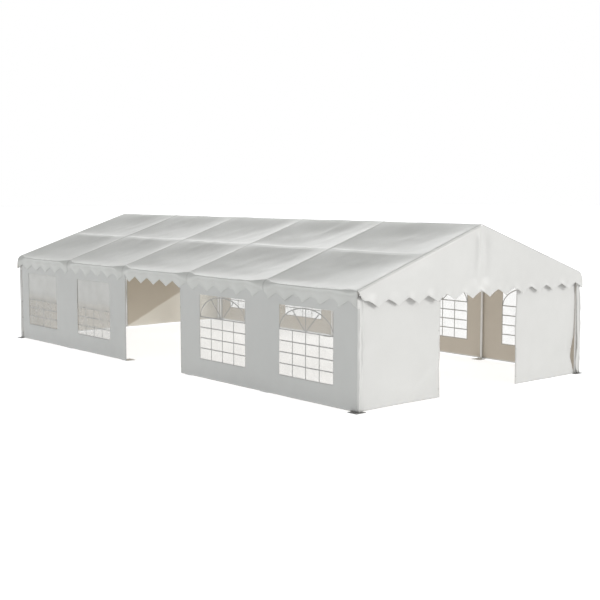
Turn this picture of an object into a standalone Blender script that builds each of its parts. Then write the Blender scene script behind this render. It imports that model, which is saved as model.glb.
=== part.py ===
"""Marquee tent, 6 m x 12 m: a steel tube frame under a white fabric cover.

Metres, +Z up. The origin is on the ground in the middle of the tent. The length runs
along Y and the gable with the entrance faces -Y.
"""
import math

import bmesh
import bpy
from mathutils import Matrix, Vector

# Driving dimensions
WALL_X = 3.000          # outer face of the long walls
WALL_Y = 6.000          # outer face of the gable walls
RIDGE_Z = 3.000         # top of the cover at the ridge
ROOF_RISE = 1 / 3       # metres of height for each metre across
BAYS = 5                # frames stand one bay apart along the tent

FABRIC = 0.005          # thickness of every fabric solid
GAP = 0.0003            # clearance between pieces that touch

TUBE_R = 0.025          # posts and rafters
SLEEVE_R = 0.030        # connector sleeves round the posts and rafters
PURLIN_R = 0.019        # bars that run along the tent
SLEEVE_LENGTH = 0.110
SEAT = 0.012            # from an elbow's end to the end of the tube in its sleeve
RIDGE_SEAT = 0.038      # from the ridge to the end of a rafter in its sleeve
ELBOW_R = 0.140         # bend of the elbow between a post and its rafter, at its axis
ELBOW_STEPS = 6
SIDES = 12              # facets round a tube

PLATE = 0.220           # square foot plate
PLATE_T = 0.008
PLATE_CLEAR = 0.001     # from an inner foot plate to the wall beside it

WALL_FOOT = 0.012       # lower edge of the walls above the ground
WALL_HEAD = 1.900       # upper edge of the long walls, behind the valance
PANEL_DROP = 0.060      # from a rafter's axis down to the top of a gable wall

EAVE_BEND_FRAME = 0.180     # radius of the cover's edge over an elbow
EAVE_BEND_MID = 0.025       # and between two frames, where it is a crease
EAVE_BEND_REACH = 0.400     # from a frame to where the crease is sharp
EAVE_STEPS = 3
SAG = 0.045                 # of the cover between two frames and two long bars
EAVE_DIP = 0.015            # of the eave between two frames
BAR_REST = 0.040            # the cover lies flat this far to each side of a long bar

VALANCE_PEAK = 1.818    # notches of the zigzag edge
VALANCE_TIP = 1.695     # points of the zigzag edge
TEETH_PER_GABLE = 13
TEETH_PER_SIDE = 26

GABLE_DOOR = (-1.020, 1.045)    # free width in the front gable, along X
SIDE_DOOR = (-0.960, 1.080)     # free width in the left wall, along Y
WINDOW_WIDTH = 1.405
WINDOW_SILL = 0.388
WINDOW_HEAD = 1.620
WINDOW_SHIFT = 0.047    # each window stands a little off its bay's middle

# Worked out from them
SLOPE = math.atan(ROOF_RISE)
FRAME_X = WALL_X - FABRIC - GAP - SLEEVE_R
FRAME_Y = WALL_Y - FABRIC - GAP - SLEEVE_R
BAY = 2 * FRAME_Y / BAYS
FRAMES = [-FRAME_Y + BAY * index for index in range(BAYS + 1)]
VALANCE_CLEAR = 0.030                       # from a wall to the valance outside it
COVER_X = WALL_X + VALANCE_CLEAR + FABRIC   # outer face of the long valances
BAR_END_Y = WALL_Y + VALANCE_CLEAR          # the long bars carry the gable sheets here
COVER_Y = BAR_END_Y + GAP + FABRIC          # outer end of the cover

WHITE_FABRIC = ((0.80, 0.81, 0.79, 1.0), 0.62, 0.0)
WHITE_GABLE = ((0.84, 0.84, 0.82, 1.0), 0.62, 0.0)
GALVANISED = ((0.58, 0.59, 0.60, 1.0), 0.42, 0.85)
CLEAR_FILM = ((0.86, 0.88, 0.88, 1.0), 0.12, 0.0)


def roof_under(x, clearance):
    """Height of a line that runs under the cover's outer face, `clearance` square to it."""
    return RIDGE_Z - abs(x) * ROOF_RISE - clearance / math.cos(SLOPE)


def rafter_height(x):
    return roof_under(x, FABRIC + GAP + SLEEVE_R)


def purlin_height(x):
    return roof_under(x, FABRIC + GAP + PURLIN_R)


# An elbow turns about this point, from upright at its lower end to the rafter's slope
ELBOW_X = FRAME_X - ELBOW_R
ELBOW_Z = roof_under(ELBOW_X, FABRIC + GAP + SLEEVE_R + ELBOW_R)
ELBOW_TURN = math.pi / 2 - SLOPE
RAFTER_START_X = ELBOW_X + ELBOW_R * math.sin(SLOPE)
RAFTER_RUN = RAFTER_START_X / math.cos(SLOPE)
MID_X = FRAME_X / 2


def clear_scene():
    for old in list(bpy.data.objects):
        bpy.data.objects.remove(old, do_unlink=True)


def add_material(piece, finish, alpha=1.0):
    colour, roughness, metallic = finish
    material = bpy.data.materials.new(piece.name + "_finish")
    material.use_nodes = True
    shader = material.node_tree.nodes["Principled BSDF"]
    shader.inputs["Base Color"].default_value = colour
    shader.inputs["Roughness"].default_value = roughness
    shader.inputs["Metallic"].default_value = metallic
    shader.inputs["Alpha"].default_value = alpha
    piece.data.materials.append(material)


def add_object(name, mesh_builder):
    """A scene object from a bmesh, with its faces turned outwards."""
    bmesh.ops.recalc_face_normals(mesh_builder, faces=mesh_builder.faces)
    if mesh_builder.calc_volume(signed=True) < 0:
        bmesh.ops.reverse_faces(mesh_builder, faces=mesh_builder.faces)
    mesh = bpy.data.meshes.new(name)
    mesh_builder.to_mesh(mesh)
    mesh_builder.free()
    piece = bpy.data.objects.new(name, mesh)
    bpy.context.scene.collection.objects.link(piece)
    return piece


def bar(name, start, end, radius):
    """A round bar with one facet corner turned up, or towards +X where it stands."""
    start = Vector(start)
    end = Vector(end)
    along = (end - start).normalized()
    up = Vector((1, 0, 0)) if abs(along.z) > 0.9 else Vector((0, 0, 1))
    side = along.cross(up).normalized()
    up = side.cross(along).normalized()
    turn = Matrix((up, side, along)).transposed().to_4x4()
    builder = bmesh.new()
    bmesh.ops.create_cone(
        builder, cap_ends=True, segments=SIDES, radius1=radius, radius2=radius,
        depth=(end - start).length,
    )
    # create_cone puts its first corner on +Y, so a quarter turn brings it to +X
    builder.transform(Matrix.Translation((start + end) / 2) @ turn @ Matrix.Rotation(-math.pi / 2, 4, "Z"))
    return add_object(name, builder)


def block(name, low, high):
    low = Vector(low)
    high = Vector(high)
    builder = bmesh.new()
    bmesh.ops.create_cube(builder, size=1.0)
    builder.transform(Matrix.Translation((low + high) / 2) @ Matrix.Diagonal((*(high - low), 1)))
    return add_object(name, builder)


def combine(target, tool, operation):
    """Replace the target's mesh by its union with, or difference from, the tool."""
    boolean = target.modifiers.new("combine", "BOOLEAN")
    boolean.operation = operation
    boolean.solver = "EXACT"
    boolean.object = tool
    graph = bpy.context.evaluated_depsgraph_get()
    result = bpy.data.meshes.new_from_object(target.evaluated_get(graph))
    target.modifiers.clear()
    target.data = result
    result.name = target.name
    bpy.data.objects.remove(tool, do_unlink=True)


def finish_metal(piece):
    piece.data.materials.clear()
    add_material(piece, GALVANISED)
    piece.data.shade_smooth()
    piece.data.set_sharp_from_angle(angle=math.radians(40))


def side_name(side):
    return "left" if side < 0 else "right"


def make_post(side, number):
    """A tube on a square foot plate. Inner plates stand wholly behind the wall."""
    x = side * FRAME_X
    y = FRAMES[number]
    top = ELBOW_Z - SEAT
    post = bar("post_%s_%d" % (side_name(side), number + 1), (x, y, PLATE_T / 2), (x, y, top), TUBE_R)
    corner = number in (0, BAYS)
    plate_x = x if corner else side * (WALL_X - FABRIC - PLATE_CLEAR - PLATE / 2)
    half = PLATE / 2
    plate = block("plate", (plate_x - half, y - half, 0), (plate_x + half, y + half, PLATE_T))
    combine(post, plate, "UNION")
    finish_metal(post)


def rafter_point(side, y, distance):
    """A point on a rafter's axis, `distance` up the slope from the end of its elbow."""
    x = RAFTER_START_X - distance * math.cos(SLOPE)
    return (side * x, y, rafter_height(x))


def make_rafter(side, number):
    y = FRAMES[number]
    low = rafter_point(side, y, SEAT)
    high = rafter_point(side, y, RAFTER_RUN - RIDGE_SEAT)
    rafter = bar("rafter_%s_%d" % (side_name(side), number + 1), low, high, TUBE_R)
    finish_metal(rafter)


def add_sleeve(line, side, y, start, end):
    """Fuse a sleeve onto a long bar, from `start` to `end` along the rafter."""
    sleeve = bar("sleeve", rafter_point(side, y, start), rafter_point(side, y, end), SLEEVE_R)
    combine(line, sleeve, "UNION")


def bore_sleeve(line, side, y, start, end):
    bore = bar("bore", rafter_point(side, y, start), rafter_point(side, y, end), TUBE_R + GAP)
    combine(line, bore, "DIFFERENCE")


def make_ridge_bar():
    line = bar("ridge_bar", (0, -BAR_END_Y, purlin_height(0)), (0, BAR_END_Y, purlin_height(0)), PURLIN_R)
    inner = RAFTER_RUN - RIDGE_SEAT + GAP
    outer = RAFTER_RUN - SLEEVE_LENGTH
    for y in FRAMES:
        for side in (-1, 1):
            add_sleeve(line, side, y, outer, RAFTER_RUN)
    for y in FRAMES:
        for side in (-1, 1):
            bore_sleeve(line, side, y, outer - PURLIN_R, inner)
    finish_metal(line)


def make_mid_purlin(side):
    """The bar half way up a slope, with a sleeve that each rafter runs through."""
    middle = (RAFTER_START_X - MID_X) / math.cos(SLOPE)
    x, _, z = rafter_point(side, 0, middle)
    line = bar("purlin_" + side_name(side), (x, -BAR_END_Y, z), (x, BAR_END_Y, z), PURLIN_R)
    half = SLEEVE_LENGTH / 2
    for y in FRAMES:
        add_sleeve(line, side, y, middle - half, middle + half)
    for y in FRAMES:
        bore_sleeve(line, side, y, middle - half - PURLIN_R, middle + half + PURLIN_R)
    finish_metal(line)


def elbow_point(side, y, angle):
    """A point on an elbow's axis; the angle runs from 0 at the post to ELBOW_TURN at the rafter."""
    return Vector((side * (ELBOW_X + ELBOW_R * math.cos(angle)), y, ELBOW_Z + ELBOW_R * math.sin(angle)))


def elbow(side, y):
    """A bent solid tube with a straight sleeve at both ends: post below, rafter above."""
    stations = [(elbow_point(side, y, 0) - Vector((0, 0, SLEEVE_LENGTH)), 0)]
    for step in range(ELBOW_STEPS + 1):
        angle = ELBOW_TURN * step / ELBOW_STEPS
        stations.append((elbow_point(side, y, angle), angle))
    stations.append((Vector(rafter_point(side, y, SLEEVE_LENGTH)), ELBOW_TURN))
    builder = bmesh.new()
    rings = []
    for centre, angle in stations:
        outward = Vector((side * math.cos(angle), 0, math.sin(angle)))
        ring = []
        for step in range(SIDES):
            turn = 2 * math.pi * step / SIDES
            offset = outward * math.cos(turn) + Vector((0, 1, 0)) * math.sin(turn)
            ring.append(builder.verts.new(centre + offset * SLEEVE_R))
        rings.append(ring)
    for near, far in zip(rings, rings[1:]):
        for step in range(SIDES):
            after = (step + 1) % SIDES
            builder.faces.new((near[step], near[after], far[after], far[step]))
    builder.faces.new(rings[0])
    builder.faces.new(rings[-1])
    return add_object("elbow", builder)


def make_eave_bar(side):
    """The bar along the eave, with an elbow at each frame that joins the post to the rafter."""
    centre = elbow_point(side, 0, ELBOW_TURN / 2)
    x, z = centre.x, centre.z
    line = bar("eave_bar_" + side_name(side), (x, -BAR_END_Y, z), (x, BAR_END_Y, z), PURLIN_R)
    for y in FRAMES:
        combine(line, elbow(side, y), "UNION")
    for y in FRAMES:
        foot = elbow_point(side, y, 0)
        end = foot - Vector((0, 0, SEAT - GAP))
        start = foot - Vector((0, 0, SLEEVE_LENGTH + PURLIN_R))
        combine(line, bar("bore", start, end, TUBE_R + GAP), "DIFFERENCE")
        bore_sleeve(line, side, y, SEAT - GAP, SLEEVE_LENGTH + PURLIN_R)
    finish_metal(line)


def zigzag(length, teeth):
    """Stations along an edge and the height of its zigzag there, with a point at both ends."""
    stations = []
    for step in range(2 * teeth + 1):
        place = -length / 2 + length * step / (2 * teeth)
        stations.append((place, VALANCE_TIP if step % 2 == 0 else VALANCE_PEAK))
    return stations


def bay_share(y):
    """How far into its bay a place along the tent is, from 0 at one frame to 1 at the next."""
    place = (y + FRAME_Y) / BAY
    return min(max(place - math.floor(place), 0), 1) if 0 < place < BAYS else 0


def eave_bend(y):
    """Radius of the cover's edge: wide over an elbow, tight between the frames."""
    away = min(abs(y - frame) for frame in FRAMES)
    if abs(y) > FRAME_Y:
        away = 0
    share = min(away / EAVE_BEND_REACH, 1)
    blend = 0.5 + 0.5 * math.cos(math.pi * share)
    return EAVE_BEND_MID + (EAVE_BEND_FRAME - EAVE_BEND_MID) * blend


def slope_height(x, y, depth):
    """Height of the cover over a slope, `depth` under its outer face, with its sag."""
    across = math.sin(math.pi * bay_share(y))
    if x < MID_X:
        start, end, dip = BAR_REST, MID_X - BAR_REST, 0
    else:
        start, end, dip = MID_X + BAR_REST, COVER_X, EAVE_DIP
    share = min(max((x - start) / (end - start), 0), 1)
    return roof_under(x, depth) - across * (SAG * math.sin(math.pi * share) + dip * share)


def bend_points(y, depth):
    """(x, z) round the cover's edge, from the top of the valance to the foot of the slope."""
    radius = eave_bend(y)
    centre_x = COVER_X - radius
    centre_z = roof_under(centre_x, radius) - EAVE_DIP * math.sin(math.pi * bay_share(y))
    points = []
    for step in range(EAVE_STEPS + 1):
        angle = ELBOW_TURN * step / EAVE_STEPS
        reach = radius - depth
        points.append((centre_x + reach * math.cos(angle), centre_z + reach * math.sin(angle)))
    return points


def cover_profile(y, low, depth):
    """(x, z) of half the cover's section, from the valance's edge to the ridge."""
    points = [(COVER_X - depth, low)] + bend_points(y, depth)
    foot_x = points[-1][0]
    low_panel = (foot_x + MID_X + BAR_REST) / 2
    for x in (low_panel, MID_X + BAR_REST, MID_X - BAR_REST, MID_X / 2, BAR_REST, 0):
        points.append((x, slope_height(x, y, depth)))
    return points


def zigzag_height(place, stations):
    """Height of a zigzag edge between its stations."""
    for (start, low), (end, high) in zip(stations, stations[1:]):
        if start <= place <= end:
            return low + (high - low) * (place - start) / (end - start)
    return stations[-1][1]


def make_roof_cover():
    """Both slopes and both long valances: one sheet, folded at the ridge and at the eaves."""
    builder = bmesh.new()
    edge = zigzag(2 * COVER_Y, TEETH_PER_SIDE)
    places = {place for place, _ in edge} | set(FRAMES)
    rings = []
    for y in sorted(places):
        low = zigzag_height(y, edge)
        outside = [(-x, z) for x, z in cover_profile(y, low, 0)]
        inside = [(-x, z) for x, z in cover_profile(y, low, FABRIC)]
        outside += [(-x, z) for x, z in reversed(outside[:-1])]
        inside += [(-x, z) for x, z in reversed(inside[:-1])]
        outline = outside + inside[::-1]
        rings.append([builder.verts.new((x, y, z)) for x, z in outline])
    count = len(rings[0])
    for near, far in zip(rings, rings[1:]):
        for index in range(count):
            after = (index + 1) % count
            builder.faces.new((near[index], near[after], far[after], far[index]))
    for ring in (rings[0], rings[-1]):
        for index in range(count // 2 - 1):
            other = count - 1 - index
            builder.faces.new((ring[index], ring[index + 1], ring[other - 1], ring[other]))
    cover = add_object("roof_cover", builder)
    add_material(cover, WHITE_FABRIC)


def extrude_outline(name, corners, faces, near_y, far_y):
    """A flat sheet across the tent: faces over (x, z) corners, given a thickness along Y."""
    builder = bmesh.new()
    verts = [builder.verts.new((x, near_y, z)) for x, z in corners]
    sheet = [builder.faces.new([verts[index] for index in face]) for face in faces]
    thick = bmesh.ops.extrude_face_region(builder, geom=sheet)
    moved = [item for item in thick["geom"] if isinstance(item, bmesh.types.BMVert)]
    bmesh.ops.translate(builder, verts=moved, vec=(0, far_y - near_y, 0))
    return add_object(name, builder)


def height_between(x, points):
    """Height of a line through (x, z) points whose x falls from the first to the last."""
    for (start, high), (end, low) in zip(points, points[1:]):
        if end <= x <= start:
            return high + (low - high) * (start - x) / (start - end)
    return points[0][1]


def make_gable_sheet(name, end):
    """The triangle under the cover's end, with the zigzag valance as its lower edge."""
    half = COVER_X - FABRIC - GAP
    edge = zigzag(2 * half, TEETH_PER_GABLE)
    top = [(x - GAP, z - GAP) for x, z in cover_profile(COVER_Y, 0, FABRIC)[1:]]
    top[-1] = (0, top[-1][1])
    places = [place for place, _ in edge] + [sign * x for x, _ in top[1:-1] for sign in (-1, 1)] + [0]
    places = sorted({round(place, 6) for place in places})
    corners = [(x, zigzag_height(x, edge)) for x in places]
    corners += [(x, height_between(abs(x), top)) for x in places]
    count = len(places)
    faces = []
    for index in range(count - 1):
        faces.append((index, index + 1, count + index + 1, count + index))
    near = end * (BAR_END_Y + GAP)
    sheet = extrude_outline(name, corners, faces, near, near + end * FABRIC)
    add_material(sheet, WHITE_GABLE)


def make_gable_wall(name, end, low_x, high_x):
    """A gable wall panel. Its top follows the rafters, below the ends of the long bars."""
    def head(x):
        return rafter_height(x) - PANEL_DROP
    corners = [(low_x, WALL_FOOT), (high_x, WALL_FOOT), (high_x, head(high_x)), (low_x, head(low_x))]
    near = end * (WALL_Y - FABRIC)
    wall = extrude_outline(name, corners, [(0, 1, 2, 3)], near, end * WALL_Y)
    add_material(wall, WHITE_GABLE)


def window_centre(side, bay):
    """Middle of a bay's window along Y. The right wall is the left one turned half round."""
    return FRAMES[bay] + BAY / 2 - side * WINDOW_SHIFT


def make_long_wall(name, side, low_y, high_y, bays):
    """A wall panel with a window cut through it in each of its bays."""
    edges = [low_y]
    for bay in bays:
        centre = window_centre(side, bay)
        edges += [centre - WINDOW_WIDTH / 2, centre + WINDOW_WIDTH / 2]
    edges.append(high_y)
    heights = [WALL_FOOT, WINDOW_SILL, WINDOW_HEAD, WALL_HEAD]
    near = side * (WALL_X - FABRIC)
    builder = bmesh.new()
    grid = [[builder.verts.new((near, y, z)) for z in heights] for y in edges]
    sheet = []
    for column in range(len(edges) - 1):
        for row in range(len(heights) - 1):
            if column % 2 == 1 and row == 1:
                continue
            sheet.append(builder.faces.new((grid[column][row], grid[column + 1][row],
                                            grid[column + 1][row + 1], grid[column][row + 1])))
    thick = bmesh.ops.extrude_face_region(builder, geom=sheet)
    moved = [item for item in thick["geom"] if isinstance(item, bmesh.types.BMVert)]
    bmesh.ops.translate(builder, verts=moved, vec=(side * FABRIC, 0, 0))
    wall = add_object(name, builder)
    add_material(wall, WHITE_FABRIC)


def make_window_film(side, bay):
    """A clear film that fills one window, flush with the wall."""
    centre = window_centre(side, bay)
    half = WINDOW_WIDTH / 2 - GAP
    faces_x = sorted((side * (WALL_X - FABRIC), side * WALL_X))
    film = block("window_%s_%d" % (side_name(side), bay + 1),
                 (faces_x[0], centre - half, WINDOW_SILL + GAP),
                 (faces_x[1], centre + half, WINDOW_HEAD - GAP))
    add_material(film, CLEAR_FILM, alpha=0.35)


def make_walls():
    make_long_wall("left_wall_front", -1, -WALL_Y, SIDE_DOOR[0], (0, 1))
    make_long_wall("left_wall_rear", -1, SIDE_DOOR[1], WALL_Y, (3, 4))
    make_long_wall("right_wall_front", 1, -WALL_Y, -SIDE_DOOR[1], (0, 1))
    make_long_wall("right_wall_rear", 1, -SIDE_DOOR[0], WALL_Y, (3, 4))
    inside = WALL_X - FABRIC - GAP
    make_gable_wall("front_wall_left", -1, -inside, GABLE_DOOR[0])
    make_gable_wall("front_wall_right", -1, GABLE_DOOR[1], inside)
    make_gable_wall("back_wall_left", 1, -inside, -GAP / 2)
    make_gable_wall("back_wall_right", 1, GAP / 2, inside)


def build():
    clear_scene()
    for side in (-1, 1):
        for number in range(BAYS + 1):
            make_post(side, number)
            make_rafter(side, number)
        make_mid_purlin(side)
        make_eave_bar(side)
        for bay in (0, 1, 3, 4):
            make_window_film(side, bay)
    make_ridge_bar()
    make_roof_cover()
    make_gable_sheet("front_gable", -1)
    make_gable_sheet("back_gable", 1)
    make_walls()


build()
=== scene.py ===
"""Looks of the marquee tent: fabric sheets, clear windows, ties, metal finish, light and camera.

Metres, +Z up, in the frame of the solids. The front gable faces -Y and the long side that
the camera sees faces -X.
"""
import math

import bpy
import numpy as np
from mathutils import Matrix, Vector


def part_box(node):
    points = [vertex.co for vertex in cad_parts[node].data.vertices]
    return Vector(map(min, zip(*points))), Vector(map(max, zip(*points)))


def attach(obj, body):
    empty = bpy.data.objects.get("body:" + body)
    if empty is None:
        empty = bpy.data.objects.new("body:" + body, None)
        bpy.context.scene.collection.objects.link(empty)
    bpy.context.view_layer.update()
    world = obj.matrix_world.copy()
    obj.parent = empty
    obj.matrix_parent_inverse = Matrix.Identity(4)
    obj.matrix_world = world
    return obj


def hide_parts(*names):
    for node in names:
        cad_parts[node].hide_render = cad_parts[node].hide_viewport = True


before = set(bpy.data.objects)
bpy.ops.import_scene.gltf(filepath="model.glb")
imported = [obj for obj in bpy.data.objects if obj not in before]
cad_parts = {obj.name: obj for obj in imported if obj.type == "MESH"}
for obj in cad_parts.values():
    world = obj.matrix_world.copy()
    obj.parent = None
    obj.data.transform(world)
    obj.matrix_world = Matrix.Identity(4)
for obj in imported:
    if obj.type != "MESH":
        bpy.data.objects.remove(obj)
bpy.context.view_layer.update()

# Sizes read from the solids
BAYS = 5
SIDES = {"left": -1, "right": 1}


def middle(node):
    low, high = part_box(node)
    return [(a + b) / 2 for a, b in zip(low, high)]


COVER_LOW, COVER_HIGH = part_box("roof_cover")
COVER_X, COVER_Y, RIDGE_Z = COVER_HIGH
VALANCE_TIP = COVER_LOW[2]
WALL_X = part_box("right_wall_front")[1][0]
WALL_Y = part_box("right_wall_rear")[1][1]
WALL_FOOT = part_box("left_wall_front")[0][2]
WALL_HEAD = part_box("left_wall_front")[1][2]
GABLE_X, GABLE_Y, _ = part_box("back_gable")[1]
FRAMES = [middle("rafter_left_%d" % number)[1] for number in range(1, BAYS + 2)]
FRAME_X = middle("post_right_1")[0]
FRAME_Y = FRAMES[-1]
BAY = 2 * FRAME_Y / BAYS
MID_X = FRAME_X / 2

# Sizes that repeat those of the solids
ROOF_RISE = 1 / 3
SLOPE = math.atan(ROOF_RISE)
TUBE_R = 0.025
SLEEVE_R = 0.030
PURLIN_R = 0.019
ELBOW_R = 0.140
FABRIC_SOLID = 0.005
VALANCE_PEAK = 1.818
TEETH_PER_GABLE = 13
TEETH_PER_SIDE = 26
EAVE_BEND_FRAME = 0.180
EAVE_BEND_MID = 0.025
EAVE_BEND_REACH = 0.400
EAVE_DIP = 0.015
BAR_REST = 0.040
PLATE = 0.220
PLATE_TOP = 0.008

# Sizes of what is made here
CLOTH = 0.0012  # thickness of the coated fabric
FILM = 0.0006
HEM = 0.025  # depth of a hem
SEAM = 0.020  # half the width of a welded seam
SEAM_STEP = 0.002  # the cloth rises to a seam over this width
NO_SEAM = 9.0  # distance to a seam on a sheet that has none
SAG = 0.088  # deeper than in the solids: the cloth is slack between the bars
VALANCE_LEAN = 0.034  # the long valances hang in towards the walls by this much
VALANCE_LEAN_END = 0.019
EAVE_LAP = 0.007  # depth of the lap seam under the eave's edge
RAKE_GROOVE = 0.014  # the gable sheets are laced this far inside the cover's end
GABLE_FLARE = 0.022  # their valances stand off the walls by this much
CORNER_RETURN = 0.135  # the left valance is tucked round the front corner over this width
WALL_STEP = 0.042  # between the columns of a long wall's grid
NARROW_STEP = 0.004  # columns and rows closer than this are merged
REAR_GAP = 0.115  # shows at the back corners, beside the gable walls' flaps
FRONT_FLAP = {"left": 0.140, "right": 0.150}  # returns of the long walls round the corner posts
BACK_FLAP = 0.095  # returns of the back walls
FILM_OVERLAP = 0.020  # the film is welded behind the cut-out by this much
BAR_WIDTH = 0.021  # printed glazing bars
BAR_THICK = 0.0008
PANE_ROWS = 4
PANE_COLUMNS = 4
PANE_HEIGHT = 0.201
EYELET_R = 0.0085
EYELET_WIRE = 0.0018  # radius of the ring's round section
EYELETS_UP = 5  # up the side edge of a wall
TIE_R = 0.0025
TIE_PITCH = 0.42  # between the eyelets along the top of a wall
TIE_BALL = ((0.0, 0.004), (0.004, 0.009), (0.010, 0.010), (0.016, 0.009), (0.020, 0.004))  # height, radius
BOLT_PITCH = 0.035  # between the two bolts of a sleeve
BOLT_SEAT = 0.96  # of a sleeve's radius: its sides are flats
PEG_PLACE = 0.38 * PLATE  # out from the middle of a foot plate


# Smooth repeatable noise

def noise(a, b, scale, seed, cells=64):
    """Soft bumps between -1 and 1 over two coordinate arrays, `scale` metres apart."""
    grid = np.random.default_rng(seed).uniform(-1, 1, (cells, cells))
    a = np.asarray(a) / scale
    b = np.asarray(b) / scale
    a0 = np.floor(a).astype(int)
    b0 = np.floor(b).astype(int)
    fa = a - a0
    fb = b - b0
    fa = fa * fa * (3 - 2 * fa)
    fb = fb * fb * (3 - 2 * fb)
    near, far = (grid[row % cells, b0 % cells] * (1 - fb) + grid[row % cells, (b0 + 1) % cells] * fb
                 for row in (a0, a0 + 1))
    return near * (1 - fa) + far * fa


def ramp(value, start, end):
    """0 before start, 1 after end, smooth between them."""
    share = np.clip((np.asarray(value) - start) / (end - start), 0, 1)
    return share * share * (3 - 2 * share)


def hump(value, centre, width):
    return np.exp(-((np.asarray(value) - centre) / width) ** 2)


# Materials

class Paint:
    """A node tree, with short ways to add the nodes that are used here."""

    def __init__(self, tree):
        self.nodes = tree.nodes
        self.links = tree.links

    def feed(self, socket, value):
        """Set a socket to a number or colour, or link another node's output to it."""
        if isinstance(value, bpy.types.NodeSocket):
            self.links.new(value, socket)
        else:
            socket.default_value = value

    def node(self, kind, inputs=()):
        """A new node, with a value or link for each of its inputs that is named or numbered."""
        node = self.nodes.new("ShaderNode" + kind)
        for label, value in dict(inputs).items():
            self.feed(node.inputs[label], value)
        return node

    def math(self, operation, *values, clamp=False):
        node = self.node("Math", dict(enumerate(values)))
        node.operation = operation
        node.use_clamp = clamp
        return node.outputs[0]

    def axis(self, place, letter):
        return self.node("SeparateXYZ", {0: place}).outputs[letter]


class Finish(Paint):
    """A new material. `place` is where a point lies, in metres."""

    def __init__(self, name):
        self.material = bpy.data.materials.new(name)
        self.material.use_nodes = True
        super().__init__(self.material.node_tree)
        self.shader = self.nodes["Principled BSDF"].inputs
        self.place = self.node("TexCoord").outputs["Object"]

    def noise(self, scale, detail, roughness):
        inputs = {"Vector": self.place, "Scale": scale, "Detail": detail, "Roughness": roughness}
        return self.node("TexNoise", inputs).outputs["Fac"]

    def mix(self, factor, first, second):
        node = self.node("Mix")
        node.data_type = "RGBA"
        for number, value in ((0, factor), (6, first), (7, second)):
            self.feed(node.inputs[number], value)
        return node.outputs[2]

    def attribute(self, name):
        node = self.node("Attribute")
        node.attribute_name = name
        return node.outputs["Fac"]

    def shade(self, values):
        for label, value in values.items():
            self.feed(self.shader[label], value)

    def bump(self, height, strength, distance):
        node = self.node("Bump", {"Height": height, "Strength": strength, "Distance": distance})
        self.feed(self.shader["Normal"], node.outputs[0])


SOIL_TOP, SOIL_FOOT = 0.22, -0.06  # the soiling of a wall grows between these heights
HEM_LINE = 0.0018  # half the width of the line at a hem's edge
SEAM_LINE = 0.0020
# colour of the painted patch of sunlight on the back right panel's inner face
DAYLIT = (0.72, 0.69, 0.62, 1)
WEAVE_SCALE = 52.0  # bands of the scrim, 6 mm apart
WEAVE_HEIGHT = 0.00012
LAYER_HEIGHT = 0.0009  # of a hem or seam over the single cloth
CREASE_HEIGHT = 0.006


def fabric_material(name, colour, shade, dirt=0.0, turned=None, gloss=0.25, glow=None, tape=0.0):
    """Coated fabric: a woven grain under a satin coat, hems, welded seams and soft soiling.

    `colour` is the clean coat and `shade` the same coat where it is soiled. `turned` is the
    colour of a hem that is folded over to this face, and `glow` the slope and the height at
    x = 0 of the line under which a patch of sunlight is painted into the colour, in the
    daylit tone. `tape` darkens the welded seams.
    """
    paint = Finish(name)
    hem, seam = paint.attribute("hem"), paint.attribute("seam")
    streaks = paint.noise(5.0, 4.0, 0.6)
    soiled = paint.math("MULTIPLY_ADD", paint.noise(0.9, 3.0, 0.55), 0.7, -0.22)
    soiled = paint.math("MULTIPLY_ADD", streaks, 0.22, soiled)
    if dirt:
        height = paint.math("MULTIPLY_ADD", streaks, -0.16, paint.axis(paint.place, "Z"))
        low = paint.node("MapRange", {"Value": height, "From Min": SOIL_TOP, "From Max": SOIL_FOOT,
                                      "To Max": dirt})
        soiled = paint.math("ADD", soiled, low.outputs[0])

    edge = paint.math("MAXIMUM", paint.math("COMPARE", hem, HEM, HEM_LINE),
                      paint.math("COMPARE", seam, SEAM, SEAM_LINE))
    soiled = paint.math("MULTIPLY_ADD", edge, 0.35, soiled)
    doubled = paint.math("LESS_THAN", seam, SEAM)
    soiled = paint.math("MULTIPLY_ADD", doubled, tape, soiled, clamp=True)
    tint = paint.mix(soiled, colour, shade)
    folded = paint.math("LESS_THAN", hem, HEM)
    if turned:
        tint = paint.mix(folded, tint, turned)
    # painted light: under the slanting line the colour turns to the daylit tone, a painted sun patch
    if glow:
        line = paint.math("MULTIPLY_ADD", paint.axis(paint.place, "X"), *glow)
        under = paint.math("SUBTRACT", line, paint.axis(paint.place, "Z"))
        under = paint.math("MULTIPLY_ADD", streaks, 0.05, under)
        tint = paint.mix(paint.math("MULTIPLY", under, 18.0, clamp=True), tint, DAYLIT)
    paint.shade({"Base Color": tint, "Roughness": paint.math("MULTIPLY_ADD", streaks, 0.16, 0.40),
                 "Specular IOR Level": 0.45, "Coat Weight": gloss, "Coat Roughness": 0.28})

    # woven scrim, pressed through the coat
    uv = paint.node("UVMap")
    uv.uv_map = "metres"
    weave = []
    for direction in "XY":
        wave = paint.node("TexWave", {"Vector": uv.outputs[0], "Scale": WEAVE_SCALE, "Distortion": 0.4})
        wave.bands_direction = direction
        weave.append(wave.outputs["Fac"])
    height = paint.math("MULTIPLY", paint.math("MAXIMUM", *weave), WEAVE_HEIGHT)
    height = paint.math("MULTIPLY_ADD", paint.math("ADD", folded, doubled), LAYER_HEIGHT, height)
    height = paint.math("MULTIPLY_ADD", paint.noise(2.6, 5.0, 0.62), CREASE_HEIGHT, height)
    paint.bump(height, 0.55, 1.0)
    return paint.material


def film_material():
    """Clear soft film with a faint milky veil and slow ripples."""
    paint = Finish("clear_film")
    haze = paint.noise(3.0, 3.0, 0.5)
    veil = paint.math("MULTIPLY_ADD", haze, 0.12, 0.165)
    paint.shade({"Base Color": paint.mix(haze, (0.56, 0.565, 0.545, 1), (0.67, 0.675, 0.655, 1)),
                 "Alpha": paint.math("ADD", veil, paint.attribute("cloud")),
                 "Roughness": 0.16, "Specular IOR Level": 0.5})
    paint.bump(haze, 0.4, 0.01)
    return paint.material


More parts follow.
